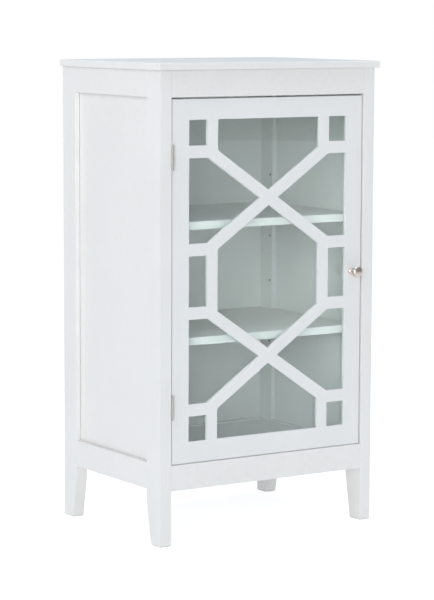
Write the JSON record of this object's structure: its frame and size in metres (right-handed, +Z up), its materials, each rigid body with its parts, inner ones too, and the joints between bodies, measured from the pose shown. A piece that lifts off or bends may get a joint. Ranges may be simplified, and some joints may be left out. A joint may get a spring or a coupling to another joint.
{
  "type": "apothecary cabinet",
  "caption": "Small white free-standing cabinet with one glazed fretwork door, adjustable shelves and tapered legs.",
  "frame": {"origin": "on the floor under the centre of the bounding box, knob included", "axes": "+Z up, -Y the front with the door, +X to the right seen from the front"},
  "size_m": [0.508, 0.39, 0.914],
  "materials": {
    "white_lacquer": "satin white lacquer on board",
    "door_lacquer": "satin white lacquer on board",
    "tinted_glass": "clear, faint green tint",
    "brushed_nickel": "warm brushed nickel plate",
    "zinc_steel": "zinc plate",
    "magnet_black": "dark ferrite",
    "white_plastic": "off-white moulded plastic"
  },
  "bodies": {
    "cabinet": {"top_board": "white_lacquer", "post_front_left": "white_lacquer", "post_front_right": "white_lacquer", "post_rear_left": "white_lacquer", "post_rear_right": "white_lacquer", "side_rail_upper_left": "white_lacquer", "side_rail_upper_right": "white_lacquer", "side_rail_lower_left": "white_lacquer", "side_rail_lower_right": "white_lacquer", "side_panel_left": "white_lacquer", "side_panel_right": "white_lacquer", "front_rail_upper": "white_lacquer", "front_rail_lower": "white_lacquer", "rear_rail_upper": "white_lacquer", "rear_rail_lower": "white_lacquer", "back_panel": "white_lacquer", "bottom_board": "white_lacquer", "shelf_pin_upper_front_left": "brushed_nickel", "shelf_pin_upper_front_right": "brushed_nickel", "shelf_pin_upper_rear_left": "brushed_nickel", "shelf_pin_upper_rear_right": "brushed_nickel", "shelf_pin_lower_front_left": "brushed_nickel", "shelf_pin_lower_front_right": "brushed_nickel", "shelf_pin_lower_rear_left": "brushed_nickel", "shelf_pin_lower_rear_right": "brushed_nickel", "foot_glide_front_left": "white_plastic", "foot_glide_front_right": "white_plastic", "foot_glide_rear_left": "white_plastic", "foot_glide_rear_right": "white_plastic", "hinge_upper_frame_leaf": "brushed_nickel", "hinge_upper_pin": "brushed_nickel", "hinge_lower_frame_leaf": "brushed_nickel", "hinge_lower_pin": "brushed_nickel", "catch_housing": "white_plastic", "catch_magnet": "magnet_black", "catch_screw_lower": "zinc_steel", "catch_screw_upper": "zinc_steel"},
    "door": {"door_fretwork_board": "door_lacquer", "door_stile_hinge_side": "door_lacquer", "door_stile_knob_side": "door_lacquer", "door_rail_upper": "door_lacquer", "door_rail_lower": "door_lacquer", "door_glass": "tinted_glass", "glass_bead_left": "door_lacquer", "glass_bead_right": "door_lacquer", "glass_bead_upper": "door_lacquer", "glass_bead_lower": "door_lacquer", "door_knob": "brushed_nickel", "knob_screw": "zinc_steel", "hinge_upper_door_leaf": "brushed_nickel", "hinge_lower_door_leaf": "brushed_nickel", "catch_strike_plate": "zinc_steel", "catch_strike_screw": "zinc_steel"},
    "upper_shelf": {"shelf_upper": "white_lacquer"},
    "lower_shelf": {"shelf_lower": "white_lacquer"}
  },
  "joints": [
    {"name": "door_hinge", "type": "hinge", "parent": "cabinet", "child": "door", "pos_m": [-0.2205, -0.1718, 0.5025], "axis": [0, 0, -1], "range_deg": [0, 170]},
    {"name": "upper_shelf_lift", "type": "slide", "parent": "cabinet", "child": "upper_shelf", "axis": [0, 0, 1], "range_m": [0, 0.012]},
    {"name": "lower_shelf_lift", "type": "slide", "parent": "cabinet", "child": "lower_shelf", "axis": [0, 0, 1], "range_m": [0, 0.012]}
  ]
}
